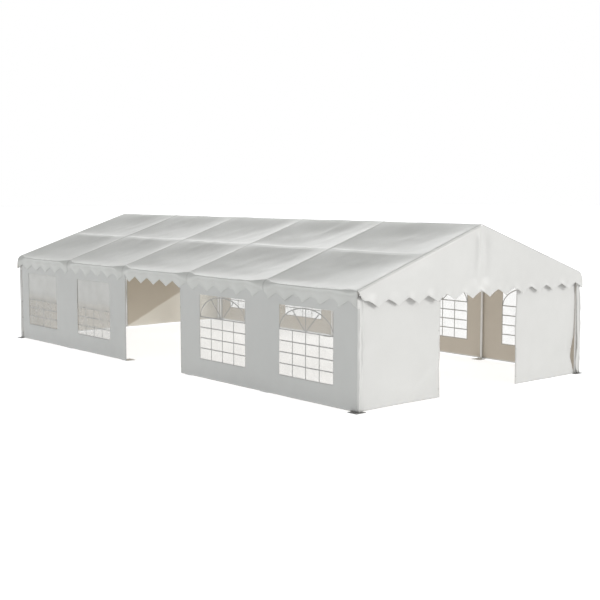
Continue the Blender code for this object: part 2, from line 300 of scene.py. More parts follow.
def galvanised_material():
    """Zinc coat: pale crystals, dull patches and a slightly uneven sheen."""
    paint = Finish("galvanised_tube")
    spangle = paint.node("TexVoronoi", {"Vector": paint.place, "Scale": 55.0})
    crystals = paint.node("SeparateColor", {0: spangle.outputs["Color"]}).outputs[0]
    patches = paint.noise(6.0, 4.0, 0.6)
    blend = paint.math("MULTIPLY_ADD", crystals, 0.35, patches)
    blend = paint.math("SUBTRACT", blend, 0.2, clamp=True)
    paint.shade({"Base Color": paint.mix(blend, (0.72, 0.73, 0.73, 1), (0.88, 0.88, 0.88, 1)),
                 "Roughness": paint.math("MULTIPLY_ADD", patches, 0.25, 0.30), "Metallic": 0.3})
    paint.bump(patches, 0.15, 0.001)
    return paint.material


def plain_material(name, dark, light, scale, roughness, metallic=0.0, uneven=0.15):
    """A small part's finish: two close tones in a fine grain."""
    paint = Finish(name)
    grain = paint.noise(scale, 3.0, 0.6)
    if uneven:
        roughness = paint.math("MULTIPLY_ADD", grain, uneven, roughness)
    paint.shade({"Base Color": paint.mix(grain, dark, light), "Roughness": roughness,
                 "Metallic": metallic})
    return paint.material


# Painted light and shade: the three outer coats are one white fabric in three tones. The gable coat is
# painted lighter for the key light on the front gable, the wall coat darker for the long wall in shade, and
# the roof coat lies between them.
ROOF_COAT = fabric_material("roof_coat", (0.565, 0.575, 0.554, 1), (0.44, 0.45, 0.43, 1),
                            gloss=0.4, tape=0.7)
GABLE_COAT = fabric_material("gable_coat", (0.60, 0.60, 0.585, 1), (0.51, 0.51, 0.495, 1), dirt=0.2)
WALL_COAT = fabric_material("wall_coat", (0.53, 0.54, 0.525, 1), (0.45, 0.455, 0.445, 1), dirt=0.4)
# Painted shade: the inner faces are given a darker, warmer tone than the outer ones, standing in for the dim
# warm light inside the tent.
INSIDE_SHADE = (0.52, 0.475, 0.405, 1)
TURNED_HEM = (0.58, 0.58, 0.565, 1)
INSIDE_COAT = fabric_material("inside_coat", (0.60, 0.55, 0.475, 1), INSIDE_SHADE, turned=TURNED_HEM)
# Painted light and shade: a darker copy of the inner coat for the back wall's shaded inside, with a painted
# patch of sunlight under a slanting line.
BACK_INSIDE_COAT = fabric_material("back_inside_coat", (0.48, 0.43, 0.35, 1), INSIDE_SHADE,
                                   turned=TURNED_HEM, glow=(0.474, 0.040))
CLEAR_FILM = film_material()
BAR_PRINT = plain_material("glazing_bar_print", (0.33, 0.33, 0.32, 1), (0.40, 0.40, 0.39, 1),
                           60.0, 0.45, uneven=0.0)
GALVANISED = galvanised_material()
# painted shade: a dark finish for the foot plates at the corners, for the shade they lie in
SHADED_PLATE = plain_material("shaded_plate", (0.17, 0.17, 0.165, 1), (0.27, 0.265, 0.255, 1), 40.0, 0.6)
ZINC_BOLT = plain_material("zinc_bolt", (0.42, 0.42, 0.43, 1), (0.62, 0.62, 0.63, 1), 300.0, 0.3, 0.9)
ELASTIC = plain_material("elastic_cord", (0.55, 0.55, 0.54, 1), (0.74, 0.74, 0.72, 1), 500.0, 0.7)
# painted shade: a near-black plug fills each eyelet, for the shadow inside the hole
EYELET_SHADE = plain_material("eyelet_hole", (0.05, 0.05, 0.05, 1), (0.09, 0.085, 0.08, 1), 300.0, 0.6)
BALL_PLASTIC = plain_material("ball_plastic", (0.62, 0.62, 0.60, 1), (0.72, 0.72, 0.70, 1), 120.0, 0.35)
EYELET_METAL = plain_material("eyelet_metal", (0.50, 0.50, 0.49, 1), (0.66, 0.66, 0.64, 1),
                              200.0, 0.3, 0.9)
FLOOR_COAT = plain_material("pale_floor", (0.70, 0.70, 0.70, 1), (0.72, 0.72, 0.72, 1), 0.6, 0.75)
FLOOR_GLOW = FLOOR_COAT.node_tree.nodes["Principled BSDF"].inputs
FLOOR_GLOW["Emission Color"].default_value = (0.985, 0.99, 1, 1)
FLOOR_GLOW["Emission Strength"].default_value = 0.72


# Sheets

SURFACES = {}  # piece name: its grid of points, and the side it looks to


def grid_mesh(name, points, outward, measures, values, holes=None):
    """A mesh over a grid of points (columns, rows, 3), with faces that look along `outward`.

    `measures` are the two coordinates of the flat sheet, in metres, and `values` the named
    point attributes that its materials read.
    """
    columns, rows, _ = points.shape
    SURFACES[name] = (points, outward)
    index = np.arange(columns * rows).reshape(columns, rows)
    quads = np.stack([index[:-1, :-1], index[1:, :-1], index[1:, 1:], index[:-1, 1:]], -1)
    keep = np.ones(quads.shape[:2], bool) if holes is None else ~holes
    quads = quads[keep]
    flat = points.reshape(-1, 3)
    face = quads[len(quads) // 2]
    normal = np.cross(flat[face[1]] - flat[face[0]], flat[face[3]] - flat[face[0]])
    if normal @ np.array(outward) < 0:
        quads = quads[:, ::-1]
    used, quads = np.unique(quads, return_inverse=True)
    quads = quads.reshape(-1, 4)
    mesh = bpy.data.meshes.new(name)
    mesh.from_pydata(flat[used].tolist(), [], quads.tolist())
    for label, amounts in values.items():
        layer = mesh.attributes.new(label, "FLOAT", "POINT")
        amounts = np.broadcast_to(amounts, (columns, rows)).reshape(-1)[used]
        layer.data.foreach_set("value", np.ascontiguousarray(amounts, np.float32))
    layer = mesh.uv_layers.new(name="metres")
    corners = np.stack(measures, -1).reshape(-1, 2)[used][quads.reshape(-1)]
    layer.data.foreach_set("uv", np.ascontiguousarray(corners.reshape(-1), np.float32))
    mesh.shade_smooth()
    return place_mesh(name, mesh)


def place_mesh(name, mesh):
    piece = bpy.data.objects.new(name, mesh)
    bpy.context.scene.collection.objects.link(piece)
    return piece


def make_cloth(piece, outside, inside, thickness=CLOTH):
    """Give a sheet its thickness, with its own coat on each face."""
    piece.data.materials.append(outside)
    piece.data.materials.append(inside)
    solid = piece.modifiers.new("thickness", "SOLIDIFY")
    solid.thickness = thickness
    solid.offset = -1
    solid.material_offset = 1
    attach(piece, "root")


def sorted_places(*groups):
    """All the places in increasing order, without those that nearly repeat another."""
    places = np.sort(np.concatenate([np.atleast_1d(group) for group in groups]))
    keep = np.concatenate([[True], np.diff(places) > 1e-5])
    return places[keep]


def zigzag_height(place, length, teeth):
    """Height of the valance's edge, with a point at both ends."""
    share = (np.asarray(place) / length + 0.5) * teeth
    away = np.abs(share - np.round(share)) * 2
    return VALANCE_TIP + (VALANCE_PEAK - VALANCE_TIP) * away


def running_length(path):
    """How far along a path each of its points lies."""
    steps = np.linalg.norm(np.diff(path, axis=0), axis=1)
    return np.concatenate([[0], np.cumsum(steps)])


def tooth_lift(place, length, teeth):
    """A wave along a valance, 1 in the middle of one edge of each tooth and -1 in the other."""
    share = (np.asarray(place) / length + 0.5) * teeth
    return np.sin(2 * np.pi * (share - 0.5))


def bay_share(y):
    place = (y + FRAME_Y) / BAY
    inside = (place > 0) & (place < BAYS)
    return np.where(inside, place - np.floor(place), 0)


def frame_distance(y):
    away = np.min([np.abs(y - place) for place in FRAMES], axis=0)
    return np.where(np.abs(y) > FRAME_Y, 0, away)


def slack(share, power):
    """0 at both ends of a panel and 1 in its middle, steep at the ends and flat in between."""
    return 1 - np.abs(2 * share - 1) ** power


def cover_sag(x, y):
    """How far the cover hangs under the plane of its slope."""
    upper = np.clip((x - BAR_REST) / (MID_X - 2 * BAR_REST), 0, 1)
    lower = np.clip((x - MID_X - BAR_REST) / (COVER_X - MID_X - BAR_REST), 0, 1)
    # the cloth's weight gathers towards the lower bar of each panel
    hang = np.where(x < MID_X, slack(upper ** 1.45, 3.4), slack(lower ** 1.2, 3.0))
    dip = np.where(x < MID_X, 0, EAVE_DIP * lower)
    across = slack(bay_share(y), 2.3)
    return SAG * hang * across + dip * np.sin(np.pi * bay_share(y))


def roof_plane(x):
    return RIDGE_Z - np.abs(x) * ROOF_RISE


def cover_column(side, y, valance_rows=9, bend_rows=12):
    """The cover's section at y: valance, eave, lower half of the slope, bar, upper half."""
    near = 0.5 + 0.5 * math.cos(math.pi * min(frame_distance(y) / EAVE_BEND_REACH, 1))
    if side < 0:
        # at the front left corner the cloth is drawn tight over the end of the eave
        near *= float(ramp(y, -COVER_Y + 0.03, -COVER_Y + 0.50)) ** 0.6
    radius = EAVE_BEND_MID + (EAVE_BEND_FRAME - EAVE_BEND_MID) * near
    centre_x = COVER_X - radius
    centre_z = roof_plane(centre_x) - radius / math.cos(SLOPE) - EAVE_DIP * math.sin(math.pi * bay_share(y))
    angles = np.linspace(0, math.pi / 2 - SLOPE, bend_rows)
    bend = np.stack([centre_x + radius * np.cos(angles), centre_z + radius * np.sin(angles)], 1)
    low = zigzag_height(y, 2 * COVER_Y, TEETH_PER_SIDE)
    hang = np.linspace(low, centre_z, valance_rows, endpoint=False)
    hang = np.stack([np.full(valance_rows, COVER_X), hang], 1)
    # a lap seam stands in a little under the edge of the slope
    hang[-2:, 0] -= EAVE_LAP * (1 - near)
    eased = (0.5 - 0.5 * np.cos(np.linspace(0, math.pi, 33)))[1:]
    foot = bend[-1, 0]
    x = np.concatenate([foot + (MID_X + BAR_REST - foot) * eased,
                        np.linspace(MID_X + BAR_REST, MID_X - BAR_REST, 7)[1:],
                        (MID_X - BAR_REST) * (1 - eased)])
    slope = np.stack([x, roof_plane(x) - cover_sag(x, y)], 1)
    return np.concatenate([hang, bend, slope])


def make_cover():
    """Roof and long valances: one sheet from one zigzag edge over the ridge to the other."""
    tooth = 2 * COVER_Y / TEETH_PER_SIDE
    seam_steps = (-SEAM - SEAM_STEP, -SEAM, SEAM, SEAM + SEAM_STEP)
    y = sorted_places(np.arange(TEETH_PER_SIDE * 8 + 1) * tooth / 8 - COVER_Y,
                      [place + step for place in FRAMES for step in seam_steps])
    halves = []
    for side in SIDES.values():
        half = np.array([cover_column(side, place) for place in y])
        along = np.broadcast_to(y[:, None], half.shape[:2])
        halves.append(np.stack([side * half[..., 0], along, half[..., 1]], -1))
    points = np.concatenate([halves[0], halves[1][:, ::-1][:, 1:]], 1)

    girth = np.array([running_length(column) for column in points])
    below = np.minimum(girth, girth[:, -1:] - girth)
    along = np.broadcast_to(y[:, None], girth.shape)
    side = np.sign(points[..., 0])

    # soft waves in the valance, tied back at the frames; faint puckers along the slopes
    hanging = 1 - ramp(below, 0.0, 0.30)
    free = np.clip(frame_distance(y)[:, None] / 0.5, 0, 1)
    wave = 0.007 * noise(along + 40 * side, below * 0.5, 0.47, 3) * (0.3 + 0.7 * free)
    lively = 0.5 + 0.5 * noise(along + 20 * side, along * 0, 0.8, 4)
    lift = 0.009 * lively * tooth_lift(along, 2 * COVER_Y, TEETH_PER_SIDE) * (1 - ramp(below, 0.0, 0.16))
    from_end = ramp(COVER_Y - np.abs(along), 0.05, 0.6)
    lean = VALANCE_LEAN_END + (VALANCE_LEAN - VALANCE_LEAN_END) * from_end
    lean *= np.where(side > 0, ramp(along, -COVER_Y, -COVER_Y + 0.4), 1)
    points[..., 0] += side * ((wave - lean) * hanging + lift)
    pucker = 0.011 * noise(along + 30 * side + 0.6 * below, below, 0.62, 5)
    pucker += 0.0022 * noise(along + 50 * side, below, 0.21, 7)
    on_slope = ramp(below, 0.35, 0.6) * free
    points[..., 2] -= np.abs(pucker) * on_slope
    # the welded seams over the frames stand a little proud
    seam = np.min([np.abs(along - place) for place in FRAMES[1:-1]], axis=0)
    points[..., 2] -= 0.0010 * (seam > SEAM + SEAM_STEP / 2) * ramp(below, 0.25, 0.4)

    hem = np.minimum(below, COVER_Y - np.abs(along))
    piece = grid_mesh("cover_sheet", points, (-1, 0, 1), (along, girth), {"hem": hem, "seam": seam})
    make_cloth(piece, ROOF_COAT, INSIDE_COAT)
    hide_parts("roof_cover")


def make_corner_return():
    """The end of the left valance, tucked round the front corner under the gable's sheet."""
    reach = np.linspace(0.001, CORNER_RETURN, 15)
    share = np.linspace(0, 1, 13)
    low = 1.690 + 0.030 * np.sin(np.pi * reach / CORNER_RETURN)
    low += 0.012 * noise(reach, reach * 0, 0.04, 41)
    high = 1.868 - 0.35 * (reach - 0.001)
    height = low[:, None] + (high - low)[:, None] * share
    past = np.broadcast_to(reach[:, None], height.shape)
    crumple = 0.010 * noise(past, height, 0.055, 42) * ramp(past, 0.0, 0.03)
    x = -COVER_X + past + 0.3 * crumple
    y = -COVER_Y - 0.001 + 0.055 * ramp(past, 0.02, 0.16) - np.abs(crumple)
    points = np.stack([x, y, height], -1)
    hem = np.minimum(height - low[:, None], reach[-1] - past)
    piece = grid_mesh("corner_return", points, (0, -1, 0), (past, height),
                      {"hem": hem, "seam": NO_SEAM})
    # painted light: the return takes the gable's lighter coat, to show as bright as the lit gable
    make_cloth(piece, GABLE_COAT, INSIDE_COAT)


def end_profile(x):
    """Height of the cover's inner face at its end."""
    radius = EAVE_BEND_FRAME - FABRIC_SOLID
    centre_x = COVER_X - EAVE_BEND_FRAME
    centre_z = roof_plane(centre_x) - EAVE_BEND_FRAME / math.cos(SLOPE)
    x = np.abs(x)
    bend = centre_z + np.sqrt(np.maximum(radius ** 2 - (x - centre_x) ** 2, 0))
    straight = roof_plane(x) - FABRIC_SOLID / math.cos(SLOPE)
    return np.where(x < centre_x + radius * math.sin(SLOPE), straight, bend)


def make_gable(name, node, end):
    """The end triangle with its zigzag valance. `end` is -1 at the front and 1 at the back."""
    width = 2 * GABLE_X
    tooth = width / TEETH_PER_GABLE
    from_corner = np.geomspace(0.002, 0.12, 8)
    x = sorted_places(np.arange(TEETH_PER_GABLE * 12 + 1) * tooth / 12 - GABLE_X,
                      GABLE_X - from_corner, from_corner - GABLE_X)
    share = np.concatenate([np.linspace(0, 0.97, 41), [0.978, 0.985, 0.99, 0.995, 1.0]])
    low = zigzag_height(x, width, TEETH_PER_GABLE)
    high = end_profile(x) - 0.002
    curl = np.zeros(len(x))
    if end < 0:
        # at the front left corner the valance's edge runs up to the eave in one curve
        tight = roof_plane(x) - FABRIC_SOLID
        high = np.where(x < 0, tight - 0.004 * ramp(-x, GABLE_X - 0.05, GABLE_X), high)
        curl = np.clip((-GABLE_X + tooth / 2 - x) / (tooth / 2), 0, 1)
        low = np.where(curl > 0, VALANCE_PEAK + 0.155 * curl ** 3, low)
    height = low[:, None] + (high - low)[:, None] * share
    along = np.broadcast_to(x[:, None], height.shape)
    up = height - VALANCE_TIP

    # folds that fall from the ridge, a slack middle, and waves in the free edge
    top_room = (high[:, None] - height)
    held = ramp(top_room, 0.0, 0.26)
    folds = 0.034 * hump(along, 0.08 * end, 0.06) * ramp(up, 0.1, 0.9)
    folds -= 0.030 * hump(along, -0.12 * end, 0.10) * ramp(up, 0.1, 0.9)
    dent = -0.030 * hump(along, 0.35 * end, 0.55) * hump(height, 2.12, 0.30)
    dent += 0.013 * noise(along, height, 0.75, 11) + 0.008 * noise(along, height, 0.30, 12)
    edge = (1 - ramp(up, 0.0, 0.32))
    wave = 0.012 * noise(along, height * 0.3, 0.36, 13 + end) * edge
    # the valance stands off the walls, and its edge curls out at the front left corner
    flare = GABLE_FLARE * (1 - ramp(up, 0.0, 0.40))
    flare += 0.014 * tooth_lift(along, width, TEETH_PER_GABLE) * (1 - ramp(up, 0.05, 0.26))
    rim = 0.030 * curl[:, None] * (1 - ramp(height - low[:, None], 0.0, 0.05))
    groove = RAKE_GROOVE * (1 - ramp(top_room, 0.008, 0.030)) * ramp(-along, -0.1, 0.1)
    out = np.clip((folds + dent) * held + wave + flare, -0.034, 0.042) + rim - groove
    points = np.stack([along, end * (GABLE_Y - 0.001 + out), height], -1)

    slant = math.cos(math.atan(2 * (VALANCE_PEAK - VALANCE_TIP) / tooth))
    hem = (height - low[:, None]) * slant
    piece = grid_mesh(name, points, (0, end, 0), (along, height), {"hem": hem, "seam": NO_SEAM})
    make_cloth(piece, GABLE_COAT, INSIDE_COAT)
    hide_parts(node)


def places_with_edges(places, edges):
    """Places along a sheet, with a grid line on each edge of its windows."""
    places = sorted_places(places, edges)
    places = places[np.concatenate([[True], np.diff(places) > NARROW_STEP])]
    for edge in edges:
        places[np.argmin(np.abs(places - edge))] = edge
    return places


def make_long_wall(node, side_word, bays):
    """A long wall panel with its window cut-outs. The front ones turn the corner with a flap."""
    side = SIDES[side_word]
    low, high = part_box(node)
    windows = [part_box("window_%s_%d" % (side_word, bay)) for bay in bays]
    start, end = low[1], high[1]
    at_front = start < -WALL_Y + 0.01
    if not at_front:
        end = end - REAR_GAP
    y = places_with_edges(np.linspace(start, end, int((end - start) / WALL_STEP)),
                          [corner[1] for box in windows for corner in box])
    z = places_with_edges(np.linspace(0, 1, 44) * (WALL_HEAD - WALL_FOOT) + WALL_FOOT,
                          [corner[2] for corner in windows[0]])

    flap = FRONT_FLAP[side_word]
    flap_columns = np.linspace(flap, 0.006, 14) if at_front else np.zeros(0)
    along = np.concatenate([start - flap_columns, y])
    along_grid, height = np.meshgrid(along, z, indexing="ij")
    seed = 20 + 3 * (side > 0) + (not at_front)
    bulge = 0.006 * noise(along_grid, height, 0.9, seed)
    bulge += 0.0025 * noise(along_grid, height, 0.28, seed + 10)
    bulge += 0.005 * (1 - ramp(height, 0.0, 0.35)) * noise(along_grid, height * 0.2, 0.34, seed + 20)
    posts = np.min([np.abs(along_grid - place) for place in FRAMES], axis=0)
    bulge *= ramp(posts, 0.02, 0.30) * 0.8 + 0.2
    spread = 0.0
    if at_front and side > 0:
        # the right wall stands out a little at its front corner, more towards the ground
        spread = 0.070 - 0.025 * ramp(height, 0.6, 1.5) - 0.035 * ramp(height, 1.5, 1.70)
        spread *= 1 - ramp(along_grid, start, start + 0.7)
    x = side * (WALL_X - 0.0005 + np.clip(bulge, -0.004, 0.009) + spread)
    y_grid = np.where(along_grid < start, start, along_grid)
    if at_front:
        # past the end the sheet turns round the post, with a wavy edge
        past = np.clip(start - along_grid, 0, None)
        turned = past > 0
        ripple = 0.016 * noise(height, past, 0.27, seed + 30) * ramp(past, 0.015, flap)
        ripple += 0.007 * noise(height, past, 0.10, seed + 32) * ramp(past, 0.01, 0.05)
        narrow = 1 - 0.28 * hump(height, 0.15, 0.45) + 2.2 * ripple
        if side > 0:
            narrow = 1 - 0.14 * ramp(height, 0.6, 1.5) - 0.25 * (1 - ramp(height, 0.02, 0.12))
        # two upright folds, deep and shallow by turns
        swell = 0.55 + 0.45 * noise(height, past * 0, 0.30, seed + 31)
        fold = 0.024 * hump(past, flap * 0.30, 0.020) * swell
        fold += 0.026 * hump(past, flap * 0.82, 0.022) * (1.1 - swell)
        x = np.where(turned, side * (WALL_X + spread - past * narrow), x)
        y_grid = np.where(turned, start - 0.004 - 0.008 * ramp(past, 0, 0.03) - ripple - fold, y_grid)
    points = np.stack([x, y_grid, height], -1)

    mid_y = (along[:-1] + along[1:]) / 2
    mid_z = (z[:-1] + z[1:]) / 2
    holes = np.zeros((len(mid_y), len(mid_z)), bool)
    window_edge = np.full(along_grid.shape, NO_SEAM)
    for box_low, box_high in windows:
        in_y = (mid_y > box_low[1]) & (mid_y < box_high[1])
        in_z = (mid_z > box_low[2]) & (mid_z < box_high[2])
        holes |= in_y[:, None] & in_z[None, :]
        gap_y = np.maximum(box_low[1] - along_grid, along_grid - box_high[1])
        gap_z = np.maximum(box_low[2] - height, height - box_high[2])
        window_edge = np.minimum(window_edge, np.maximum(gap_y, gap_z))
    hem = np.minimum.reduce([along_grid - along[0], along[-1] - along_grid,
                             height - z[0], z[-1] - height])
    values = {"hem": hem, "seam": np.abs(window_edge)}
    piece = grid_mesh(node + "_sheet", points, (side, 0, 0), (along_grid, height), values, holes)
    make_cloth(piece, WALL_COAT, INSIDE_COAT)
    if at_front:
        # painted light: the flap takes the gable's lighter coat, so that it shows as bright as the lit gable
        # beside it
        for coat in (GABLE_COAT, INSIDE_COAT):
            piece.data.materials.append(coat)
        for face in piece.data.polygons:
            if face.center.y < start - 0.003:
                face.material_index = 2
    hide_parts(node)


def make_gable_wall(node, end):
    """A gable wall panel. Its top follows the rafters; its outer edge is slack at the corner."""
    low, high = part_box(node)
    outer = -1 if low[0] < -WALL_X / 2 else 1
    inner_x = high[0] if outer < 0 else low[0]
    outer_x = outer * (WALL_X - 0.012)
    columns, rows = 56, 52
    x = inner_x + (outer_x - inner_x) * np.linspace(0, 1, columns) ** 0.9
    head = high[2] - ROOF_RISE * (np.abs(x) - min(abs(low[0]), abs(high[0])))
    grid_x = np.broadcast_to(x[:, None], (columns, rows)).copy()
    seed = 60 + 5 * (end > 0) + (outer > 0)
    foot = WALL_FOOT + 0.006 + 0.006 * noise(x, x * 0, 0.40, seed)
    if end < 0 and outer > 0:
        foot = np.maximum(foot - 0.018, 0.002)
    height = foot[:, None] + (head - foot)[:, None] * np.linspace(0, 1, rows)

    near_corner = ramp(np.abs(grid_x), WALL_X - 0.42, WALL_X - 0.02)
    if end < 0 and outer > 0:
        # the front right panel has slipped from its corner, most of all near the ground
        grid_x -= (0.088 + 0.100 * hump(height, 0.36, 0.24)) * near_corner
    elif end < 0:
        grid_x += 0.045 * near_corner
    billow = 0.020 * noise(grid_x + 0.5 * height, height - 0.3 * grid_x, 0.75, seed + 1)
    billow += 0.006 * noise(grid_x, height, 0.30, seed + 2)
    billow += 0.014 * (1 - ramp(height, 0.0, 0.5)) * noise(grid_x, height * 0.2, 0.42, seed + 3)
    billow += 0.008 * near_corner * noise(height, grid_x * 0.3, 0.20, seed + 4)
    if end < 0 and outer < 0:
        # one soft fold climbs from the foot to the doorway's edge
        climb = height - 0.10 - 0.68 * (grid_x + 2.0)
        fold = 0.014 * hump(climb, 0.0, 0.13) - 0.012 * hump(climb, -0.22, 0.16)
        billow += fold * ramp(grid_x, -2.4, -1.5)
    y = end * (WALL_Y - 0.010 + np.clip(billow, -0.030, 0.009))
    if end < 0 and outer > 0:
        y += 0.022 * near_corner * hump(height, 0.45, 0.5)
    points = np.stack([grid_x, y, height], -1)
    if end > 0:
        # at the back the panels turn round the corner posts on to the long sides
        flap = np.linspace(0.006, BACK_FLAP, 9)
        ripple = 0.006 * noise(height[-1][None], flap[:, None], 0.25, seed + 5)
        turned = np.stack([
            np.broadcast_to(outer * (WALL_X + 0.002) + outer * ripple * 0.5, ripple.shape),
            end * (WALL_Y - 0.002) - flap[:, None] + ripple * 0.6,
            np.broadcast_to(np.minimum(height[-1][None], WALL_HEAD), ripple.shape)], -1)
        points = np.concatenate([points, turned])
    width = running_length(points[:, 0])
    along = np.broadcast_to(width[:, None], points.shape[:2])
    tall = points[..., 2]
    hem = np.minimum.reduce([along - along[:1], along[-1:] - along, tall - tall[:, :1], tall[:, -1:] - tall])
    piece = grid_mesh(node + "_sheet", points, (0, end, 0), (along, tall), {"hem": hem, "seam": NO_SEAM})
    # the back right panel's inner face carries the painted shade and the painted sun patch
    make_cloth(piece, GABLE_COAT, BACK_INSIDE_COAT if end > 0 and outer > 0 else INSIDE_COAT)
    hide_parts(node)


# Windows

def add_bar(vertices, faces, path, surface, rank):
    """Add a flat printed bar along a path of (y, z) points. `rank` keeps crossing bars apart."""
    path = np.array(path, float)
    length = running_length(path)
    places = np.linspace(0, length[-1], max(6, int(length[-1] / 0.03)))
    path = np.stack([np.interp(places, length, path[:, 0]), np.interp(places, length, path[:, 1])], 1)
    forward = np.gradient(path, axis=0)
    forward /= np.linalg.norm(forward, axis=1)[:, None]
    across = np.stack([-forward[:, 1], forward[:, 0]], 1) * BAR_WIDTH / 2
    edges = (path - across, path + across)
    first = len(vertices)
    lift = -FILM - 0.0003 - 0.0001 * rank - BAR_THICK
    for step in range(len(path)):
        for edge in edges:
            y, z = edge[step]
            out = float(surface(y, z))
            for depth in (lift, lift + BAR_THICK):
                vertices.append((out + depth, y, z))
    last = first + 4 * (len(path) - 1)
    for a in range(first, last, 4):
        b = a + 4
        faces.extend([(a + 1, a + 3, b + 3, b + 1), (a, b, b + 2, a + 2),
                      (a, a + 1, b + 1, b), (a + 2, b + 2, b + 3, a + 3)])
    faces.extend([(first, first + 2, first + 3, first + 1), (last, last + 1, last + 3, last + 2)])


def make_window(side_word, bay):
    """A film welded behind the cut-out, with printed bars: square panes under an arch."""
    node = "window_%s_%d" % (side_word, bay)
    side = SIDES[side_word]
    low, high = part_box(node)
    seed = 90 + bay + 7 * (side > 0)

    def surface(y, z):
        """How far out the film lies: slow ripples, none at the welded edge."""
        inset = np.minimum.reduce([y - low[1], high[1] - y, z - low[2], high[2] - z])
        ripple = 0.0030 * noise(y, z, 0.40, seed) + 0.0012 * noise(y, z, 0.17, seed + 1)
        return WALL_X - 0.0050 + ripple * ramp(inset, 0.0, 0.15)

    y = np.linspace(low[1] - FILM_OVERLAP, high[1] + FILM_OVERLAP, 48)
    z = np.linspace(low[2] - FILM_OVERLAP, high[2] + FILM_OVERLAP, 42)
    grid_y, grid_z = np.meshgrid(y, z, indexing="ij")
    points = np.stack([side * surface(grid_y, grid_z), grid_y, grid_z], -1)
    # the two films furthest from the front on the left side have gone milky, most of all above
    cloud = (0.16 + 0.42 * ramp(grid_z, 0.95, 1.25)) if side < 0 and bay > 3 else 0.0
    piece = grid_mesh("film_%s_%d" % (side_word, bay), points, (side, 0, 0), (grid_y, grid_z),
                      {"cloud": cloud})
    make_cloth(piece, CLEAR_FILM, CLEAR_FILM, FILM)
    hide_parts(node)

    (_, left, sill), (_, right, head) = low, high
    spring = sill + PANE_ROWS * PANE_HEIGHT
    centre = (left + right) / 2
    half_width = (right - left) / 2
    rise = head - spring - BAR_WIDTH
    vertices, faces = [], []
    for column in range(1, PANE_COLUMNS):
        place = left + (right - left) * column / PANE_COLUMNS
        add_bar(vertices, faces, [(place, sill), (place, spring)], surface, 0)
    for row in range(1, PANE_ROWS + 1):
        level = sill + PANE_HEIGHT * row
        add_bar(vertices, faces, [(left, level), (right, level)], surface, 1)
    arch = [(centre - half_width * math.cos(angle), spring + rise * math.sin(angle))
            for angle in np.linspace(0.02, math.pi - 0.02, 49)]
    add_bar(vertices, faces, arch, surface, 2)
    for number, angle in enumerate(np.radians((45, 90, 135))):
        reach = 1 / math.hypot(math.cos(angle) / half_width, math.sin(angle) / rise)
        tip = (centre + reach * math.cos(angle), spring + reach * math.sin(angle))
        add_bar(vertices, faces, [(centre, spring), tip], surface, 3 + number)
    if side < 0:
        vertices = [(-x, y, z) for x, y, z in vertices]
        faces = [face[::-1] for face in faces]
    mesh = bpy.data.meshes.new("bars")
    mesh.from_pydata(vertices, [], faces)
    mesh.materials.append(BAR_PRINT)
    bars = place_mesh("bars_%s_%d" % (side_word, bay), mesh)
    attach(bars, "root")


# Frame and small parts

def finish_frame():
    """Zinc on every tube. The plates at the corners are painted dark, for the shade that falls on them."""
    for name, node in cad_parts.items():
        if not name.startswith(("post", "rafter", "ridge", "purlin", "eave")):
            continue
        node.data.materials.clear()
        node.data.materials.append(GALVANISED)
        corner = name.startswith("post") and name.endswith(("_1", "_6"))
        if corner:
            node.data.materials.append(SHADED_PLATE)
        for face in node.data.polygons:
            height = (node.matrix_world @ face.center).z
            face.material_index = 1 if corner and height < PLATE_TOP + 0.001 else 0


class Parts:
    """One mesh that gathers many copies of a small part."""

    def __init__(self, name, material):
        self.name = name
        self.material = material
        self.vertices = []
        self.faces = []

    def add(self, vertices, faces):
        first = len(self.vertices)
        self.vertices.extend(tuple(vertex) for vertex in vertices)
        self.faces.extend(tuple(index + first for index in face) for face in faces)

    def finish(self, smooth):
        mesh = bpy.data.meshes.new(self.name)
        mesh.from_pydata(self.vertices, [], self.faces)
        mesh.materials.append(self.material)
        if smooth:
            mesh.shade_smooth()
        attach(place_mesh(self.name, mesh), "root")


EYELETS = Parts("eyelets", EYELET_METAL)
HOLES = Parts("eyelet_holes", EYELET_SHADE)
TIES = Parts("elastic_ties", ELASTIC)
BALLS = Parts("tie_balls", BALL_PLASTIC)
BOLTS = Parts("bolts", ZINC_BOLT)


def square_to(axis):
    """An axis made one long, and two directions that stand square to it and to each other."""
    axis = Vector(axis).normalized()
    first = axis.orthogonal().normalized()
    return axis, first, axis.cross(first)


def circle(centre, first, second, radius, corners):
    return [centre + (first * math.cos(turn) + second * math.sin(turn)) * radius
            for turn in np.linspace(0, 2 * math.pi, corners, endpoint=False)]


def prism(centre, axis, radius, depth, corners):
    """A short prism that stands on its centre and rises along the axis."""
    axis, first, second = square_to(axis)
    vertices = circle(Vector(centre), first, second, radius, corners)
    vertices += [vertex + axis * depth for vertex in vertices]
    faces = [(i, (i + 1) % corners, (i + 1) % corners + corners, i + corners) for i in range(corners)]
    faces.append(tuple(range(corners))[::-1])
    faces.append(tuple(range(corners, 2 * corners)))
    return vertices, faces


def tube(path, radius, sides):
    """A closed tube along a closed path of points."""
    count = len(path)
    spokes = [point - path[0] for point in path[1:]]
    normal = sum((a.cross(b) for a, b in zip(spokes, spokes[1:])), Vector()).normalized()
    vertices = []
    for index, point in enumerate(path):
        forward = (path[(index + 1) % count] - path[index - 1]).normalized()
        vertices += circle(point, forward.cross(normal), normal, radius, sides)
    faces = []
    for near in range(0, len(vertices), sides):
        far = (near + sides) % len(vertices)
        for side in range(sides):
            other = (side + 1) % sides
            faces.append((near + side, near + other, far + other, far + side))
    return vertices, faces


def surface_point(name, across, up):
    """A point on a sheet: `across` and `up` count its grid's columns and rows, in part ones too."""
    points, _ = SURFACES[name]
    column = min(int(across), points.shape[0] - 2)
    row = min(int(up), points.shape[1] - 2)
    right, above = across - column, up - row
    low = points[column, row] * (1 - right) + points[column + 1, row] * right
    high = points[column, row + 1] * (1 - right) + points[column + 1, row + 1] * right
    return Vector(low * (1 - above) + high * above)


